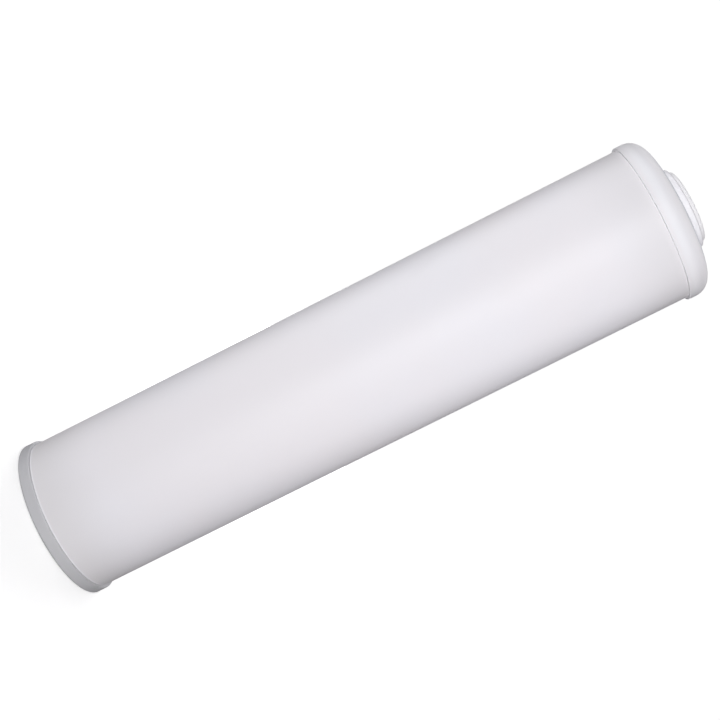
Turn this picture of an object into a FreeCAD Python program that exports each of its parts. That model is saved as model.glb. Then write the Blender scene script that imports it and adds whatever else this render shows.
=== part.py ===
import FreeCAD, Part
import Sketcher
import os

# Carbon filter cartridge for a large water filter housing, standing on its inlet cap.
# Water enters through the slotted inlet cap, rises through the carbon and leaves by the outlet bore.
# The origin is the centre of the foot ring, +Z runs along the axis to the outlet, in millimetres.

part_folder = "parts"
match_tolerance = 0.001
slot_rings = ("inner", "middle", "outer")
grille_rings = ("inner", "middle", "outer")

doc = FreeCAD.newDocument("carbon_filter_cartridge")

# Driving sizes, each set once
driving_sizes = [
    ("overall_length", "508", "foot ring to gasket top, nominal 20 inch"),
    ("tube_diameter", "115.6", "outside of the shell tube, nominal 4.5 inch"),
    ("tube_wall", "2.5", "wall of the shell tube"),
    ("weld_clearance", "0.05", "radial gap between a cap and the tube"),
    ("insert_wall", "2.5", "wall of the ring that each cap has inside the tube"),
    ("rib_thickness", "2", "thickness of the radial ribs in both caps"),
    ("rib_count", "8", "radial ribs in each cap"),
    ("flange_step", "2.2", "how far the inlet flange stands proud of the tube"),
    ("flange_height", "8.8", "height of the inlet flange"),
    ("tube_seat_height", "3.5", "level of the tube's lower end in the inlet flange"),
    ("foot_fillet", "1.2", "rounding at the foot of the flange"),
    ("ledge_fillet", "0.7", "rounding at the top edge of the flange"),
    ("floor_recess", "3", "height of the slotted plate above the foot"),
    ("plate_thickness", "3", "thickness of the slotted plate"),
    ("inlet_cap_height", "18", "foot to the top of the inlet cap's ribs"),
    ("socket_diameter", "30.4", "blind locating socket in the inlet cap"),
    ("hub_wall", "3", "wall around the locating socket"),
    ("hub_roof", "3", "roof over the locating socket"),
    ("slot_width", "1.4", "width of an inlet slot"),
    ("slot_land", "3", "plastic left between the rings of slots"),
    ("inner_slots", "24", "slots in the inner ring"),
    ("middle_slots", "32", "slots in the middle ring"),
    ("outer_slots", "40", "slots in the outer ring"),
    ("skirt_wall", "1.95", "wall of the outlet cap's skirt"),
    ("skirt_height", "17.8", "skirt edge to end face of the outlet cap"),
    ("skirt_fillet", "0.3", "rounding at the skirt's edge"),
    ("insert_reach", "2", "how far the outlet cap's inner ring reaches past its skirt"),
    ("shoulder_radius", "12", "rounded shoulder of the outlet cap"),
    ("roof_thickness", "3", "thickness of the outlet cap's end face"),
    ("collar_height", "7.9", "collar above the end face"),
    ("collar_lip", "2.95", "rim of the collar around the gasket"),
    ("collar_wall", "2.5", "wall of the collar below the gasket"),
    ("collar_fillet", "0.8", "rounding at the collar's top edge"),
    ("root_fillet", "1", "hollow where the collar meets the end face"),
    ("seat_depth", "2.7", "depth of the gasket's recess in the collar"),
    ("seat_web", "2.5", "plastic under the gasket"),
    ("bore_diameter", "29", "outlet bore"),
    ("bore_wall", "2.5", "wall around the outlet bore"),
    ("grille_thickness", "1.5", "perforated disc at the bottom of the outlet bore"),
    ("grille_hole", "3", "hole in the perforated disc"),
    ("grille_web", "0.8", "plastic between the outer holes and the bore's wall"),
    ("inner_holes", "6", "holes in the inner ring of the disc"),
    ("middle_holes", "12", "holes in the middle ring of the disc"),
    ("outer_holes", "18", "holes in the outer ring of the disc"),
    ("gasket_diameter", "54.2", "outside of the gasket"),
    ("gasket_clearance", "0.15", "radial gap between the gasket and its recess"),
    ("gasket_bore_step", "0.25", "how far the gasket's bore is set back from the outlet bore"),
    ("gasket_proud", "3.3", "gasket above the collar"),
    ("gasket_outer_fillet", "1.7", "rounding at the gasket's outer top edge"),
    ("gasket_inner_fillet", "0.8", "rounding at the gasket's inner top edge"),
    ("foam_thickness", "20", "expansion foam pad"),
    ("felt_thickness", "4", "inlet felt pad"),
    ("post_filter_thickness", "6", "post filter pad"),
    ("fill_clearance", "0.3", "radial gap between the filling and the tube"),
]

# Radii and levels that follow from the driving sizes; the outlet cap's own levels start at its inner ring
derived_places = [
    ("tube_radius", "Sizes.tube_diameter / 2"),
    ("tube_bore_radius", "tube_radius - Sizes.tube_wall"),
    ("skirt_bore_radius", "tube_radius + Sizes.weld_clearance"),
    ("insert_radius", "tube_bore_radius - Sizes.weld_clearance"),
    ("insert_bore_radius", "insert_radius - Sizes.insert_wall"),
    ("rib_end_radius", "insert_radius - Sizes.insert_wall / 2"),
    ("fill_radius", "tube_bore_radius - Sizes.fill_clearance"),
    ("half_rib", "Sizes.rib_thickness / 2"),
    ("flange_radius", "tube_radius + Sizes.flange_step"),
    ("flange_top", "Sizes.flange_height"),
    ("tube_seat", "Sizes.tube_seat_height"),
    ("plate_underside", "Sizes.floor_recess"),
    ("plate_top", "Sizes.floor_recess + Sizes.plate_thickness"),
    ("inlet_cap_top", "Sizes.inlet_cap_height"),
    ("inlet_rib_height", "inlet_cap_top - plate_top"),
    ("socket_radius", "Sizes.socket_diameter / 2"),
    ("socket_roof", "inlet_cap_top - Sizes.hub_roof"),
    ("hub_radius", "socket_radius + Sizes.hub_wall"),
    ("hub_rib_radius", "socket_radius + Sizes.hub_wall / 2"),
    ("half_slot", "Sizes.slot_width / 2"),
    ("inner_slot_start", "hub_radius + Sizes.slot_land"),
    ("slot_length", "(insert_bore_radius - inner_slot_start - 3 * Sizes.slot_land) / 3"),
    ("inner_slot_end", "inner_slot_start + slot_length"),
    ("middle_slot_start", "inner_slot_end + Sizes.slot_land"),
    ("middle_slot_end", "middle_slot_start + slot_length"),
    ("outer_slot_start", "middle_slot_end + Sizes.slot_land"),
    ("outer_slot_end", "outer_slot_start + slot_length"),
    ("cap_radius", "skirt_bore_radius + Sizes.skirt_wall"),
    ("skirt_edge", "Sizes.insert_reach"),
    ("end_face", "skirt_edge + Sizes.skirt_height"),
    ("tube_stop", "end_face - Sizes.shoulder_radius"),
    ("roof_underside", "end_face - Sizes.roof_thickness"),
    ("collar_top", "end_face + Sizes.collar_height"),
    ("gasket_seat", "collar_top - Sizes.seat_depth"),
    ("core_top", "gasket_seat - Sizes.seat_web"),
    ("gasket_radius", "Sizes.gasket_diameter / 2"),
    ("seat_radius", "gasket_radius + Sizes.gasket_clearance"),
    ("collar_radius", "seat_radius + Sizes.collar_lip"),
    ("core_radius", "collar_radius - Sizes.collar_wall"),
    ("bore_radius", "Sizes.bore_diameter / 2"),
    ("bore_wall_radius", "bore_radius + Sizes.bore_wall"),
    ("grille_top", "roof_underside + Sizes.grille_thickness"),
    ("grille_hole_radius", "Sizes.grille_hole / 2"),
    ("inner_hole_circle", "(bore_radius - Sizes.grille_web - grille_hole_radius) / 3"),
    ("middle_hole_circle", "inner_hole_circle * 2"),
    ("outer_hole_circle", "inner_hole_circle * 3"),
    ("gasket_bore_radius", "bore_radius + Sizes.gasket_bore_step"),
    ("gasket_height", "Sizes.seat_depth + Sizes.gasket_proud"),
    ("outlet_cap_base", "Sizes.overall_length - Sizes.gasket_proud - collar_top"),
    ("gasket_base", "outlet_cap_base + gasket_seat"),
    ("tube_length", "outlet_cap_base + tube_stop - tube_seat"),
    ("felt_base", "inlet_cap_top + Sizes.foam_thickness"),
    ("carbon_base", "felt_base + Sizes.felt_thickness"),
    ("post_filter_base", "outlet_cap_base - Sizes.post_filter_thickness"),
    ("carbon_length", "post_filter_base - carbon_base"),
]


# Fill a sheet with one named value to a row
def write_sheet(name, rows):
    sheet = doc.addObject("Spreadsheet::Sheet", name)
    for number, row in enumerate(rows, start=1):
        for column, text in zip("ABC", row):
            sheet.set(f"{column}{number}", text)
        sheet.setAlias(f"B{number}", row[0])
    doc.recompute()
    return sheet


sizes = write_sheet("Sizes", driving_sizes)
places = write_sheet("Places", [(alias, "=" + formula) for alias, formula in derived_places])


# Present value of a named place
def place(alias):
    return float(getattr(places, alias))


# Body with its own label, lifted along the axis when it doesn't start at the foot
def new_body(label, base=None):
    body = doc.addObject("PartDesign::Body", label)
    body.Label = label
    if base:
        body.setExpression("Placement.Base.z", f"Places.{base}")
    return body


# Datum plane or axis of the body, by its role
def datum(body, role):
    return next(feature for feature in body.Origin.OriginFeatures if feature.Role == role)


# Sketch on one of the body's own planes, raised to a named level
def new_sketch(body, name, role, level=None):
    sketch = body.newObject("Sketcher::SketchObject", name)
    sketch.AttachmentSupport = [(datum(body, role), "")]
    sketch.MapMode = "FlatFace"
    if level:
        sketch.setExpression("AttachmentOffset.Base.z", f"Places.{level}")
    return sketch


# Hold one coordinate of a line's start at a named place; None is the axis or the base line
def hold(sketch, kind, line, alias):
    if alias is None:
        axis = {"DistanceX": -2, "DistanceY": -1}[kind]
        sketch.addConstraint(Sketcher.Constraint("PointOnObject", line, 1, axis))
        return
    number = sketch.addConstraint(Sketcher.Constraint(kind, -1, 1, line, 1, place(alias)))
    sketch.setExpression(f"Constraints[{number}]", f"Places.{alias}")


# Closed outline of level and upright lines through corners given as (radius, level)
def draw_outline(sketch, corners):
    points = [FreeCAD.Vector(*(place(alias) if alias else 0 for alias in corner)) for corner in corners]
    for start, end in zip(points, points[1:] + points[:1]):
        sketch.addGeometry(Part.LineSegment(start, end), False)
    last = len(corners) - 1
    for line in range(last + 1):
        following = line + 1 if line < last else 0
        sketch.addConstraint(Sketcher.Constraint("Coincident", line, 2, following, 1))
    for line, corner in enumerate(corners):
        shared = [line > 0 and corner[axis] == corners[line - 1][axis] for axis in (0, 1)]
        if shared[0]:
            sketch.addConstraint(Sketcher.Constraint("Vertical", line - 1))
        else:
            hold(sketch, "DistanceX", line, corner[0])
        if shared[1]:
            sketch.addConstraint(Sketcher.Constraint("Horizontal", line - 1))
        else:
            hold(sketch, "DistanceY", line, corner[1])


# Rectangle along the sketch's first axis, from a start to an end radius and half a width to each side
def draw_bar(sketch, start, end, half_width):
    low = FreeCAD.Vector(place(start), -place(half_width))
    high = FreeCAD.Vector(place(end), place(half_width))
    corners = [low, FreeCAD.Vector(high.x, low.y), high, FreeCAD.Vector(low.x, high.y)]
    for line in range(4):
        sketch.addGeometry(Part.LineSegment(corners[line], corners[(line + 1) % 4]), False)
    for line in range(4):
        sketch.addConstraint(Sketcher.Constraint("Coincident", line, 2, (line + 1) % 4, 1))
    for line, kind in enumerate(("Horizontal", "Vertical", "Horizontal")):
        sketch.addConstraint(Sketcher.Constraint(kind, line))
    sketch.addConstraint(Sketcher.Constraint("Symmetric", 0, 1, 2, 2, -1))
    hold(sketch, "DistanceX", 0, start)
    hold(sketch, "DistanceX", 2, end)
    hold(sketch, "DistanceY", 2, half_width)


# Circle centred on the sketch's first axis, or on the origin where no centre is named
def draw_circle(sketch, radius, centre=None):
    middle = FreeCAD.Vector(place(centre) if centre else 0, 0)
    number = sketch.addGeometry(Part.Circle(middle, FreeCAD.Vector(0, 0, 1), place(radius)), False)
    size = sketch.addConstraint(Sketcher.Constraint("Radius", number, place(radius)))
    sketch.setExpression(f"Constraints[{size}]", f"Places.{radius}")
    if centre is None:
        sketch.addConstraint(Sketcher.Constraint("Coincident", number, 3, -1, 1))
        return
    sketch.addConstraint(Sketcher.Constraint("PointOnObject", number, 3, -1))
    spot = sketch.addConstraint(Sketcher.Constraint("DistanceX", -1, 1, number, 3, middle.x))
    sketch.setExpression(f"Constraints[{spot}]", f"Places.{centre}")


# Turn an outline about the body's axis
def turn(body, corners):
    sketch = new_sketch(body, f"{body.Name}_section", "XZ_Plane")
    draw_outline(sketch, corners)
    revolution = body.newObject("PartDesign::Revolution", f"{body.Name}_turned")
    revolution.Profile = sketch
    revolution.ReferenceAxis = (sketch, ["V_Axis"])
    revolution.Angle = 360
    doc.recompute()


# Raise a sketch by a named length
def raise_pad(body, sketch, length):
    pad = body.newObject("PartDesign::Pad", f"{sketch.Name}_pad")
    pad.Profile = sketch
    pad.setExpression("Length", length)
    doc.recompute()
    return pad


# Cut a sketch downwards by a named depth and make sure that it removed something
def cut_down(body, sketch, depth):
    before = body.Shape.Volume
    pocket = body.newObject("PartDesign::Pocket", f"{sketch.Name}_cut")
    pocket.Profile = sketch
    pocket.setExpression("Length", depth)
    doc.recompute()
    if body.Shape.Volume >= before:
        raise RuntimeError(f"{pocket.Name} cut nothing")
    return pocket


# Repeat a feature round the axis, as many times as the named count
def repeat_round(body, feature, count):
    pattern = body.newObject("PartDesign::PolarPattern", f"{feature.Name}_ring")
    pattern.Originals = [feature]
    pattern.Axis = (datum(body, "Z_Axis"), [""])
    pattern.Angle = 360
    pattern.setExpression("Occurrences", f"Sizes.{count}")
    body.Tip = pattern
    doc.recompute()


# Round the circular edge at a named radius and level
def round_ring(body, name, radius, level, size):
    sharp = body.Tip
    height = place(level) if level else 0
    edges = []
    for number, edge in enumerate(sharp.Shape.Edges, start=1):
        if not isinstance(edge.Curve, Part.Circle):
            continue
        off_radius = abs(edge.Curve.Radius - place(radius))
        off_height = abs(edge.Curve.Center.z - height)
        if max(off_radius, off_height) < match_tolerance:
            edges.append(f"Edge{number}")
    if not edges:
        raise RuntimeError(f"{body.Label} has no edge to round for {name}")
    fillet = body.newObject("PartDesign::Fillet", f"{body.Name}_{name}")
    fillet.Base = (sharp, edges)
    fillet.setExpression("Radius", f"Sizes.{size}")
    doc.recompute()


# Plain disc of the filling
def fill_disc(label, base, thickness):
    disc = doc.addObject("Part::Cylinder", label)
    disc.Label = label
    disc.setExpression("Radius", "Places.fill_radius")
    disc.setExpression("Height", thickness)
    disc.setExpression("Placement.Base.z", f"Places.{base}")
    return disc


# Extruded tube between the seats of the two caps
def make_shell_tube():
    body = new_body("shell_tube", "tube_seat")
    sketch = new_sketch(body, "tube_section", "XY_Plane")
    draw_circle(sketch, "tube_radius")
    draw_circle(sketch, "tube_bore_radius")
    raise_pad(body, sketch, "Places.tube_length")
    return body


# Grey moulding: flange, slotted plate, blind socket, inner ring and ribs
def make_inlet_end_cap():
    body = new_body("inlet_end_cap")
    turn(body, [
        (None, "socket_roof"), ("socket_radius", "socket_roof"), ("socket_radius", None),
        ("hub_radius", None), ("hub_radius", "plate_underside"),
        ("insert_bore_radius", "plate_underside"), ("insert_bore_radius", None),
        ("flange_radius", None), ("flange_radius", "flange_top"),
        ("skirt_bore_radius", "flange_top"), ("skirt_bore_radius", "tube_seat"),
        ("insert_radius", "tube_seat"), ("insert_radius", "inlet_cap_top"),
        ("insert_bore_radius", "inlet_cap_top"), ("insert_bore_radius", "plate_top"),
        ("hub_radius", "plate_top"), ("hub_radius", "inlet_cap_top"), (None, "inlet_cap_top"),
    ])
    round_ring(body, "foot", "flange_radius", None, "foot_fillet")
    round_ring(body, "ledge", "flange_radius", "flange_top", "ledge_fillet")
    sketch = new_sketch(body, "inlet_rib", "XY_Plane", "plate_top")
    draw_bar(sketch, "hub_rib_radius", "rib_end_radius", "half_rib")
    repeat_round(body, raise_pad(body, sketch, "Places.inlet_rib_height"), "rib_count")
    for ring in slot_rings:
        sketch = new_sketch(body, f"{ring}_slot", "XY_Plane", "plate_top")
        sketch.setExpression("AttachmentOffset.Rotation.Angle", f"180 / Sizes.{ring}_slots")
        draw_bar(sketch, f"{ring}_slot_start", f"{ring}_slot_end", "half_slot")
        repeat_round(body, cut_down(body, sketch, "Sizes.plate_thickness"), f"{ring}_slots")
    return body


# White moulding: skirt over the tube, shoulder, collar, bore with its grille, inner ring and ribs
def make_outlet_end_cap():
    body = new_body("outlet_end_cap", "outlet_cap_base")
    turn(body, [
        (None, "roof_underside"), ("bore_wall_radius", "roof_underside"),
        ("bore_wall_radius", "core_top"), ("core_radius", "core_top"), ("core_radius", "roof_underside"),
        ("insert_bore_radius", "roof_underside"), ("insert_bore_radius", None),
        ("insert_radius", None), ("insert_radius", "tube_stop"),
        ("skirt_bore_radius", "tube_stop"), ("skirt_bore_radius", "skirt_edge"),
        ("cap_radius", "skirt_edge"), ("cap_radius", "end_face"),
        ("collar_radius", "end_face"), ("collar_radius", "collar_top"),
        ("seat_radius", "collar_top"), ("seat_radius", "gasket_seat"),
        ("bore_radius", "gasket_seat"), ("bore_radius", "grille_top"), (None, "grille_top"),
    ])
    round_ring(body, "shoulder", "cap_radius", "end_face", "shoulder_radius")
    round_ring(body, "skirt", "cap_radius", "skirt_edge", "skirt_fillet")
    round_ring(body, "root", "collar_radius", "end_face", "root_fillet")
    round_ring(body, "collar", "collar_radius", "collar_top", "collar_fillet")
    sketch = new_sketch(body, "centre_hole", "XY_Plane", "grille_top")
    draw_circle(sketch, "grille_hole_radius")
    cut_down(body, sketch, "Sizes.grille_thickness")
    for ring in grille_rings:
        sketch = new_sketch(body, f"{ring}_hole", "XY_Plane", "grille_top")
        draw_circle(sketch, "grille_hole_radius", f"{ring}_hole_circle")
        repeat_round(body, cut_down(body, sketch, "Sizes.grille_thickness"), f"{ring}_holes")
    sketch = new_sketch(body, "outlet_rib", "XY_Plane")
    draw_bar(sketch, "bore_radius", "rib_end_radius", "half_rib")
    repeat_round(body, raise_pad(body, sketch, "Places.roof_underside"), "rib_count")
    return body


# Soft white ring in the collar's recess
def make_outlet_gasket():
    body = new_body("outlet_gasket", "gasket_base")
    turn(body, [
        ("gasket_bore_radius", None), ("gasket_radius", None),
        ("gasket_radius", "gasket_height"), ("gasket_bore_radius", "gasket_height"),
    ])
    round_ring(body, "outer", "gasket_radius", "gasket_height", "gasket_outer_fillet")
    round_ring(body, "inner", "gasket_bore_radius", "gasket_height", "gasket_inner_fillet")
    return body


pieces = [
    make_inlet_end_cap(),
    make_shell_tube(),
    fill_disc("expansion_foam_pad", "inlet_cap_top", "Sizes.foam_thickness"),
    fill_disc("inlet_felt_pad", "felt_base", "Sizes.felt_thickness"),
    fill_disc("carbon_bed", "carbon_base", "Places.carbon_length"),
    fill_disc("post_filter_pad", "post_filter_base", "Sizes.post_filter_thickness"),
    make_outlet_end_cap(),
    make_outlet_gasket(),
]
doc.recompute()

for item in doc.Objects:
    if "Invalid" in item.State or "Error" in item.State:
        raise RuntimeError(f"{item.Name} did not build: {item.State}")
for piece in pieces:
    if piece.Shape.isNull() or not piece.Shape.isValid():
        raise RuntimeError(f"{piece.Label} has no valid shape")

os.makedirs(part_folder, exist_ok=True)
for piece in pieces:
    piece.Shape.exportStep(os.path.join(part_folder, f"{piece.Label}.step"))
    box = piece.Shape.BoundBox
    print(f"{piece.Label}: {piece.Shape.Volume / 1000:.1f} cm3, z {box.ZMin:.2f} to {box.ZMax:.2f}")
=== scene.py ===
import math

import bmesh
import bpy
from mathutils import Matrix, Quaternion, Vector, noise


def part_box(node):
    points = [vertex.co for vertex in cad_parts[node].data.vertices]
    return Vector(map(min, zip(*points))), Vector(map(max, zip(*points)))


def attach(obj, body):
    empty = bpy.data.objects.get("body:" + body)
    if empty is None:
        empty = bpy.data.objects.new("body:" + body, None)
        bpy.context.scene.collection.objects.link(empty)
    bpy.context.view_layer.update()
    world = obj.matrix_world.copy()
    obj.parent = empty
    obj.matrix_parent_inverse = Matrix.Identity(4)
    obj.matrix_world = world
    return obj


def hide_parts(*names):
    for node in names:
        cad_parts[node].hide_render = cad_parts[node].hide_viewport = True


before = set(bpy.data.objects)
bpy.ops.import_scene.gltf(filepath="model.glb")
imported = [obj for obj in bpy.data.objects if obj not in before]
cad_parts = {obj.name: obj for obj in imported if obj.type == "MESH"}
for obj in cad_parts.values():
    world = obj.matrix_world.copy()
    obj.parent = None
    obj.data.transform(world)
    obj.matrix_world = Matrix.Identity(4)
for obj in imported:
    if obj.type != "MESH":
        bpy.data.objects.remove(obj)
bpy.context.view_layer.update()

print("frame loaded,", len(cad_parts), "nodes")


class Wire:  # one output of a shader node, usable in sums
    def __init__(self, tree, socket):
        self.tree = tree
        self.socket = socket

    def sum(self, operation, first, second):
        return self.tree.node("ShaderNodeMath", {"operation": operation}, {0: first, 1: second})

    def __add__(self, other):
        return self.sum("ADD", self, other)

    def __radd__(self, other):
        return self.sum("ADD", other, self)

    def __sub__(self, other):
        return self.sum("SUBTRACT", self, other)

    def __rsub__(self, other):
        return self.sum("SUBTRACT", other, self)

    def __mul__(self, other):
        return self.sum("MULTIPLY", self, other)

    def __rmul__(self, other):
        return self.sum("MULTIPLY", other, self)


class Tree:  # the nodes of a material or of the world
    def __init__(self, owner):
        self.owner = owner
        owner.use_nodes = True
        owner.node_tree.nodes.clear()

    def node(self, kind, settings, inputs, output=0):
        made = self.owner.node_tree.nodes.new(kind)
        for key, value in settings.items():
            setattr(made, key, value)
        for key, value in inputs.items():
            if isinstance(value, Wire):
                self.owner.node_tree.links.new(value.socket, made.inputs[key])
            else:
                made.inputs[key].default_value = value
        return Wire(self, made.outputs[output]) if made.outputs else None


class Paint(Tree):  # a material laid out on the object's own coordinates, in metres
    def __init__(self, name):
        super().__init__(bpy.data.materials.new(name))
        self.place = self.node("ShaderNodeTexCoord", {}, {}, "Object")

    def height(self, base):  # how far above a level
        return self.node("ShaderNodeSeparateXYZ", {}, {0: self.place}, "Z") - base

    def reach(self):  # how far from the axis
        flat = self.node("ShaderNodeMapping", {}, {"Vector": self.place, "Scale": (1, 1, 0)})
        return self.node("ShaderNodeVectorMath", {"operation": "LENGTH"}, {0: flat}, "Value")

    def step(self, wire, span):  # 0 before the span, 1 past it, smooth inside
        return self.node("ShaderNodeMapRange", {"interpolation_type": "SMOOTHSTEP"}, {
            "Value": wire, "From Min": span[0], "From Max": span[1]}, "Result")

    def noise(self, scale, detail=2.0, roughness=0.5, stretch=(1, 1, 1), turn=0.0):
        spot = self.node("ShaderNodeMapping", {}, {
            "Vector": self.place, "Scale": stretch, "Rotation": (0, 0, turn)})
        return self.node("ShaderNodeTexNoise", {}, {
            "Vector": spot, "Scale": scale, "Detail": detail, "Roughness": roughness}, "Fac")

    def cells(self, scale):
        return self.node("ShaderNodeTexVoronoi", {}, {"Vector": self.place, "Scale": scale}, "Distance")

    def mix(self, factor, first, second):
        inputs = {"Factor": factor}
        for socket, color in ((6, first), (7, second)):  # the two color sockets
            inputs[socket] = color if isinstance(color, Wire) else (*color, 1)
        return self.node("ShaderNodeMix", {"data_type": "RGBA"}, inputs, 2)

    def clouds(self, scale, first, second, span=(0.35, 0.65)):  # two tones in soft patches
        return self.mix(self.step(self.noise(scale, detail=3.0), span), first, second)

    def bump(self, height, depth, under=None):
        inputs = {"Height": height, "Distance": depth, "Strength": 1.0}
        if under:
            inputs["Normal"] = under
        return self.node("ShaderNodeBump", {}, inputs, "Normal")

    def finish(self, inputs):
        surface = self.node("ShaderNodeBsdfPrincipled", {}, inputs)
        self.node("ShaderNodeOutputMaterial", {}, {"Surface": surface})
        return self.owner


def shellPlastic():
    look = {  # the painted highlight's heights are above the tube's lower end
        "warmWhite": (0.799, 0.779, 0.804), "coolWhite": (0.793, 0.785, 0.820), "cloudScale": 7.0,
        "lineStretch": (230.0, 230.0, 1.6), "lineDepth": 0.000012,
        "peelScale": 700.0, "peelDepth": 0.000006,
        "scuffScale": 34.0, "scuffStretch": (1, 1, 0.35), "scuffFrom": (0.56, 0.74),
        "scuffTint": 0.10, "scuffColor": (0.74, 0.73, 0.74),
        "endShadeReach": 0.058, "endShadeColor": (0.71, 0.695, 0.71), "inletShadeWeight": 0.98, "outletShadeWeight": 0.7,
        "jointHighlightFrom": (0.0052, 0.0054), "jointHighlightTo": (0.0061, 0.0064), "jointHighlightColor": (0.77, 0.76, 0.78),
        "roughness": 0.51, "lineRoughness": 0.06, "scuffRoughness": 0.08,
    }
    low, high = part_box("shell_tube")
    length = high.z - low.z
    paint = Paint("shellPlastic")
    height = paint.height(low.z)
    lines = paint.noise(1.0, detail=3.0, roughness=0.6, stretch=look["lineStretch"])  # drawn along the tube
    peel = paint.noise(look["peelScale"], detail=1.0)
    scuff = paint.noise(look["scuffScale"], detail=5.0, roughness=0.62, stretch=look["scuffStretch"])
    scuff = paint.step(scuff, look["scuffFrom"])
    color = paint.clouds(look["cloudScale"], look["warmWhite"], look["coolWhite"])
    color = paint.mix(scuff * look["scuffTint"], color, look["scuffColor"])
    # painted shade: the tube darkens towards both caps
    inletShadeMask = 1 - paint.step(height, (0.0, look["endShadeReach"]))
    outletShadeMask = paint.step(height, (length - look["endShadeReach"], length))
    endShadeMask = inletShadeMask * look["inletShadeWeight"] + outletShadeMask * look["outletShadeWeight"]
    color = paint.mix(endShadeMask, color, look["endShadeColor"])  # painted shade: the tube darker near both caps
    jointHighlight = paint.step(height, look["jointHighlightFrom"]) * (1 - paint.step(height, look["jointHighlightTo"]))
    color = paint.mix(jointHighlight, color, look["jointHighlightColor"])  # painted highlight: a lighter line on the tube just above the flange
    normal = paint.bump(lines, look["lineDepth"])
    return paint.finish({
        "Base Color": color, "Normal": paint.bump(peel, look["peelDepth"], normal),
        "Roughness": lines * look["lineRoughness"] + scuff * look["scuffRoughness"] + look["roughness"],
        "Specular IOR Level": 0.45, "IOR": 1.49,
    })


def mouldedPlastic(paint, look, color):  # grain, flow marks and scuffs over a base color
    mould = {
        "flowStretch": (60.0, 60.0, 40.0), "flowDepth": 0.00002,
        "scuffScale": 60.0, "scuffFrom": (0.58, 0.74),
        "grainRoughness": 0.08, "scuffRoughness": 0.07,
    }
    grain = paint.noise(look["grainScale"])
    flow = paint.noise(1.0, detail=3.0, roughness=0.6, stretch=mould["flowStretch"])
    scuff = paint.step(paint.noise(mould["scuffScale"], detail=5.0, roughness=0.6), mould["scuffFrom"])
    normal = paint.bump(flow, mould["flowDepth"])
    return paint.finish({
        "Base Color": paint.mix(scuff * look["scuffTint"], color, look["scuffColor"]),
        "Normal": paint.bump(grain, look["grainDepth"], normal),
        "Roughness": grain * mould["grainRoughness"] + scuff * mould["scuffRoughness"] + look["roughness"],
        "Specular IOR Level": 0.45, "IOR": 1.5,
    })


def outletPlastic():
    look = {  # heights are above the cap's lower end
        "first": (0.824, 0.814, 0.838), "second": (0.819, 0.819, 0.848), "cloudScale": 14.0,
        "grainScale": 1900.0, "grainDepth": 0.000005, "roughness": 0.52,
        "scuffTint": 0.08, "scuffColor": (0.72, 0.72, 0.73),
        "skirt": (0.79, 0.78, 0.805), "skirtTo": (0.003, 0.007),
        "shoulder": (0.88, 0.87, 0.895), "shoulderFrom": (0.0105, 0.0155),
        "face": (0.80, 0.80, 0.845), "faceReflectionFrom": (0.0175, 0.0197),
        "ring": (0.67, 0.69, 0.765), "shadeRingFrom": (0.0180, 0.0194), "shadeRingReach": (0.0476, 0.0494),
        "collar": (0.85, 0.845, 0.87), "collarFrom": (0.0202, 0.0214), "collarReach": (0.0306, 0.0330),
        "lipShade": (0.72, 0.71, 0.735), "lipShadeFrom": (0.0264, 0.0271),
        "rim": (0.93, 0.925, 0.945), "rimTo": (0.00205, 0.0022),
    }
    paint = Paint("outletPlastic")
    height = paint.height(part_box("outlet_end_cap")[0].z)
    reach = paint.reach()
    color = paint.clouds(look["cloudScale"], look["first"], look["second"])
    skirt = 1 - paint.step(height, look["skirtTo"])
    color = paint.mix(skirt, color, look["skirt"])  # darker towards its lower edge
    # painted light: the shoulder made lighter where it turns upwards
    color = paint.mix(paint.step(height, look["shoulderFrom"]), color, look["shoulder"])
    # painted reflection: a bluish tint over the end face
    color = paint.mix(paint.step(height, look["faceReflectionFrom"]), color, look["face"])
    ring = paint.step(height, look["shadeRingFrom"]) * paint.step(reach, look["shadeRingReach"])
    color = paint.mix(ring, color, look["ring"])  # painted shade with a bluish painted reflection where the shoulder turns into the face
    collar = paint.step(height, look["collarFrom"]) * (1 - paint.step(reach, look["collarReach"]))
    color = paint.mix(collar, color, look["collar"])  # painted light: the collar made lighter
    color = paint.mix(paint.step(height, look["lipShadeFrom"]), color, look["lipShade"])  # painted shade: a dark line under the gasket
    rim = 1 - paint.step(height, look["rimTo"])
    color = paint.mix(rim, color, look["rim"])  # painted light over the shaded underside and edge of the skirt
    return mouldedPlastic(paint, look, color)


def inletPlastic():
    look = {
        "first": (0.53, 0.53, 0.55), "second": (0.545, 0.545, 0.56), "cloudScale": 14.0,
        "grainScale": 1700.0, "grainDepth": 0.000014, "roughness": 0.41,
        "scuffTint": 0.12, "scuffColor": (0.56, 0.56, 0.57),
    }
    paint = Paint("inletPlastic")
    return mouldedPlastic(paint, look, paint.clouds(look["cloudScale"], look["first"], look["second"]))


def gasketRubber():
    look = {  # the painted shade's height is above the gasket's lower side
        "first": (0.86, 0.85, 0.87), "second": (0.84, 0.84, 0.85), "cloudScale": 40.0,
        "creaseShadeTo": (0.0027, 0.0033), "creaseShadeColor": (0.66, 0.65, 0.67),
        "grainScale": 1500.0, "grainDepth": 0.000008, "grainRoughness": 0.1, "roughness": 0.5,
    }
    paint = Paint("gasketRubber")
    height = paint.height(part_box("outlet_gasket")[0].z)
    grain = paint.noise(look["grainScale"])
    color = paint.mix(paint.noise(look["cloudScale"], detail=3.0), look["first"], look["second"])
    creaseShade = 1 - paint.step(height, look["creaseShadeTo"])
    color = paint.mix(creaseShade, color, look["creaseShadeColor"])  # painted shade where it meets the collar
    return paint.finish({
        "Base Color": color, "Normal": paint.bump(grain, look["grainDepth"]),
        "Roughness": grain * look["grainRoughness"] + look["roughness"], "Specular IOR Level": 0.4,
    })


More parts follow.
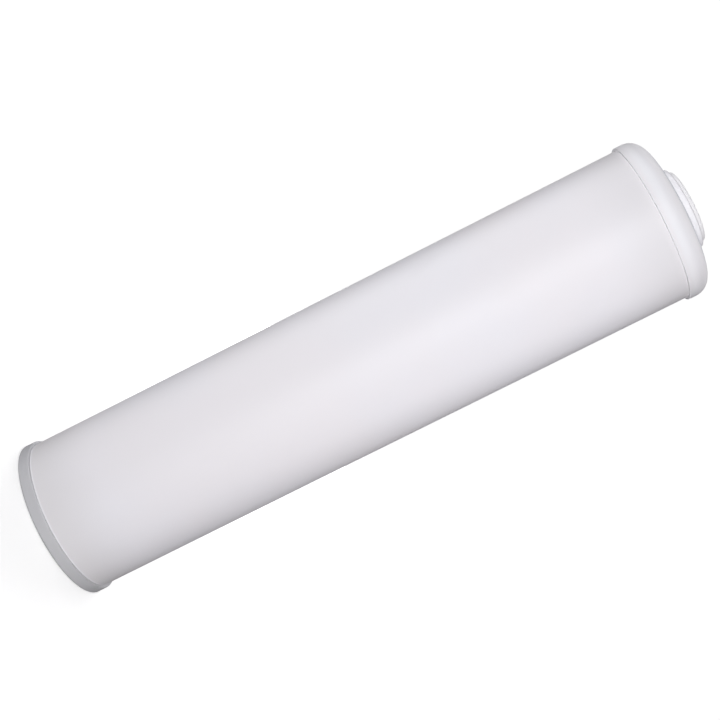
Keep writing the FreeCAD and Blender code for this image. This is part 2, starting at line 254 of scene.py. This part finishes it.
def felt():
    look = {
        "shade": (0.80, 0.79, 0.76), "fibre": (0.90, 0.90, 0.88), "depth": 0.0003,
        "fibreStretch": (900.0, 260.0, 500.0), "fibreTurn": 0.6,
        "crossStretch": (280.0, 950.0, 500.0), "crossTurn": -0.4,
    }
    paint = Paint("felt")
    fibre = paint.noise(1.0, detail=4.0, roughness=0.7, stretch=look["fibreStretch"], turn=look["fibreTurn"])
    cross = paint.noise(1.0, detail=4.0, roughness=0.7, stretch=look["crossStretch"], turn=look["crossTurn"])
    return paint.finish({
        "Base Color": paint.mix(fibre, look["shade"], look["fibre"]),
        "Normal": paint.bump(fibre + cross, look["depth"]), "Roughness": 0.95, "Specular IOR Level": 0.2,
    })


def openFoam():
    look = {"cellScale": 700.0, "poreShade": (0.55, 0.53, 0.47), "strand": (0.80, 0.79, 0.74), "depth": 0.0006}
    paint = Paint("openFoam")
    cells = paint.cells(look["cellScale"])
    # painted shade: the sunken middle of each pore darker
    return paint.finish({
        "Base Color": paint.mix(cells, look["poreShade"], look["strand"]),
        "Normal": paint.bump(cells, look["depth"]), "Roughness": 0.95, "Specular IOR Level": 0.2,
    })


def granularCarbon():
    look = {
        "grainScale": 650.0, "grainDepth": 0.0008, "toneScale": 500.0,
        "dark": (0.012, 0.012, 0.013), "dusty": (0.035, 0.035, 0.036), "roughness": 0.5, "toneRoughness": 0.3,
    }
    paint = Paint("granularCarbon")
    tone = paint.noise(look["toneScale"], detail=1.0)
    return paint.finish({
        "Base Color": paint.mix(tone, look["dark"], look["dusty"]),
        "Normal": paint.bump(1 - paint.cells(look["grainScale"]), look["grainDepth"]),
        "Roughness": tone * look["toneRoughness"] + look["roughness"],
    })


def dress(node, material):  # give a CAD node its finish
    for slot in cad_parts[node].material_slots:
        slot.material = material


dress("shell_tube", shellPlastic())
dress("outlet_end_cap", outletPlastic())
dress("inlet_end_cap", inletPlastic())
dress("outlet_gasket", gasketRubber())
dress("carbon_bed", granularCarbon())
print("CAD nodes dressed")


def addObject(name, shape, material):  # from a bmesh to an object in the scene
    mesh = bpy.data.meshes.new(name)
    shape.to_mesh(mesh)
    shape.free()
    mesh.materials.append(material)
    thing = bpy.data.objects.new(name, mesh)
    bpy.context.scene.collection.objects.link(thing)
    return thing


def makePad(node, look):  # a die-cut disc that fills its node's space
    low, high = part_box(node)
    shape = bmesh.new()
    bmesh.ops.create_circle(shape, cap_ends=True, segments=look["segments"], radius=high.x)
    bmesh.ops.translate(shape, verts=shape.verts, vec=(0, 0, low.z))
    raised = bmesh.ops.extrude_face_region(shape, geom=shape.faces[:])["geom"]
    upper = [item for item in raised if isinstance(item, bmesh.types.BMVert)]
    bmesh.ops.translate(shape, verts=upper, vec=(0, 0, high.z - low.z))
    rims = [edge for edge in shape.edges if edge.verts[0].co.z == edge.verts[1].co.z]
    bmesh.ops.bevel(shape, geom=rims, offset=look["round"], affect="EDGES",
                    segments=look["roundSegments"], profile=0.5, material=-1)
    ringWidth = (high.x - look["round"]) / (look["rings"] + 1)
    for face in [face for face in shape.faces if len(face.verts) == look["segments"]]:
        for ring in range(look["rings"]):
            bmesh.ops.inset_region(shape, faces=[face], thickness=ringWidth, use_even_offset=True)
        bmesh.ops.poke(shape, faces=[face])
    middle = (low.z + high.z) / 2
    for vert in shape.verts:  # soft surface, only ever inwards
        dip = look["wave"] * (0.5 + 0.5 * noise.noise(vert.co * look["waveScale"]))
        vert.co.z += dip if vert.co.z < middle else -dip
        vert.co.xy *= 1 - look["squeeze"] * dip / high.x
    bmesh.ops.recalc_face_normals(shape, faces=shape.faces)
    pad = addObject(look["name"], shape, look["finish"])
    pad.data.shade_smooth()
    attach(pad, "root")
    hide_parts(node)


feltFinish = felt()
makePad("inlet_felt_pad", {
    "name": "inletFelt", "slot": "felt", "finish": feltFinish, "fill": 0.9,
    "segments": 96, "rings": 14, "round": 0.0012, "roundSegments": 4,
    "wave": 0.0003, "waveScale": 90.0, "squeeze": 0.3,
})
makePad("post_filter_pad", {
    "name": "postFilter", "slot": "felt", "finish": feltFinish, "fill": 0.9,
    "segments": 96, "rings": 14, "round": 0.0018, "roundSegments": 4,
    "wave": 0.0004, "waveScale": 80.0, "squeeze": 0.3,
})
makePad("expansion_foam_pad", {
    "name": "expansionFoam", "slot": "foam", "finish": openFoam(), "fill": 1.0,
    "segments": 96, "rings": 14, "round": 0.0012, "roundSegments": 4,
    "wave": 0.0004, "waveScale": 60.0, "squeeze": 0.3,
})
print("pads made")


def makeFloor():
    look = {
        "radius": 4.0, "segments": 96, "drop": 0.0002,
        "paleGrey": (0.50, 0.50, 0.50), "paleGreyToo": (0.52, 0.52, 0.52), "cloudScale": 3.0,
        "bounceGrey": (0.2, 0.2, 0.2), "roughness": 0.9,
        "glowReach": (0.06, 0.5), "glowNear": (0.60, 0.60, 0.60), "glowFar": (1.02, 1.02, 1.02),
        "noGlow": (0.0, 0.0, 0.0),
    }
    shape = bmesh.new()
    bmesh.ops.create_circle(shape, cap_ends=True, segments=look["segments"], radius=look["radius"])
    bmesh.ops.translate(shape, verts=shape.verts, vec=(0, 0, -look["drop"]))
    paint = Paint("floorPaint")
    seen = paint.node("ShaderNodeLightPath", {}, {}, "Is Camera Ray")
    glow = paint.mix(paint.step(paint.reach(), look["glowReach"]), look["glowNear"], look["glowFar"])
    pale = paint.mix(paint.noise(look["cloudScale"]), look["paleGrey"], look["paleGreyToo"])
    finish = paint.finish({
        "Base Color": paint.mix(seen, look["bounceGrey"], pale), "Roughness": look["roughness"],
        "Emission Color": paint.mix(seen, look["noGlow"], glow),  # white to the eye, no light on the part
        "Emission Strength": 1.0,
    })
    floor = addObject("floor", shape, finish)


def makeWorld():
    look = {"seen": 1.02, "light": 0.02}
    studio = Tree(bpy.data.worlds.new("studio"))
    seen = studio.node("ShaderNodeLightPath", {}, {}, "Is Camera Ray")
    strength = seen * (look["seen"] - look["light"]) + look["light"]
    back = studio.node("ShaderNodeBackground", {}, {"Color": (1, 1, 1, 1), "Strength": strength})
    studio.node("ShaderNodeOutputWorld", {}, {"Surface": back})
    bpy.context.scene.world = studio.owner


softboxes = [
    {"name": "front", "place": (0, -1.4, 0.45), "size": 0.5, "power": 16.2, "tint": (0.99, 0.985, 1.0)},
    {"name": "left", "place": (-1.3, 0.1, 0.35), "size": 0.7, "power": 7.7, "tint": (0.98, 0.98, 1.0)},
    {"name": "right", "place": (0.7, 0, 0.45), "size": 0.4, "power": 0.8, "tint": (1.0, 0.98, 1.0)},
    {"name": "nearRight", "place": (0.6, -0.25, 0.35), "size": 0.3, "power": 0.68, "tint": (1.0, 0.98, 1.0)},
    {"name": "top", "place": (0, 0.8, 1.8), "size": 0.6, "power": 16.0, "tint": (1.0, 1.0, 1.0)},
    {"name": "high", "place": (0, -0.9, 1.6), "size": 0.8, "power": 1.5, "tint": (0.99, 0.98, 1.0)},
    {"name": "back", "place": (-0.3, 1.5, 0.4), "size": 0.9, "power": 14.0, "tint": (1.0, 1.0, 1.0)},
]
dullBoxes = ("top", "back")  # kept out of reflections, so no bright rim runs along the silhouette
aimPoint = Vector((0, 0, 0.27))  # what the softboxes face


def makeSoftboxes():
    for box in softboxes:
        light = bpy.data.lights.new(box["name"], "AREA")
        light.shape = "SQUARE"
        light.size = box["size"]
        light.energy = box["power"]
        light.color = box["tint"]
        holder = bpy.data.objects.new(box["name"], light)
        holder.location = box["place"]
        holder.rotation_euler = (aimPoint - Vector(box["place"])).to_track_quat("-Z", "Y").to_euler()
        holder.visible_glossy = box["name"] not in dullBoxes
        bpy.context.scene.collection.objects.link(holder)


def makeCamera():
    view = {
        "distance": 0.9599, "height": 0.3287, "tilt": 4.661, "roll": 63.379, "turn": -0.378,
        "lens": 66.37, "sensor": 36.0,
    }
    tilt = math.radians(view["tilt"])
    turn = math.radians(view["turn"])
    roll = Quaternion((0, 0, 1), math.radians(view["roll"]))
    ahead = Vector((math.sin(turn) * math.cos(tilt), math.cos(turn) * math.cos(tilt), -math.sin(tilt)))
    camera = bpy.data.objects.new("camera", bpy.data.cameras.new("camera"))
    camera.location = (0, -view["distance"], view["height"])
    camera.rotation_mode = "QUATERNION"
    camera.rotation_quaternion = ahead.to_track_quat("-Z", "Y") @ roll
    camera.data.lens = view["lens"]
    camera.data.sensor_width = view["sensor"]
    bpy.context.scene.collection.objects.link(camera)
    bpy.context.scene.camera = camera


makeWorld()
makeFloor()
makeSoftboxes()
makeCamera()
bpy.context.scene.view_settings.view_transform = "Standard"
print("studio ready")
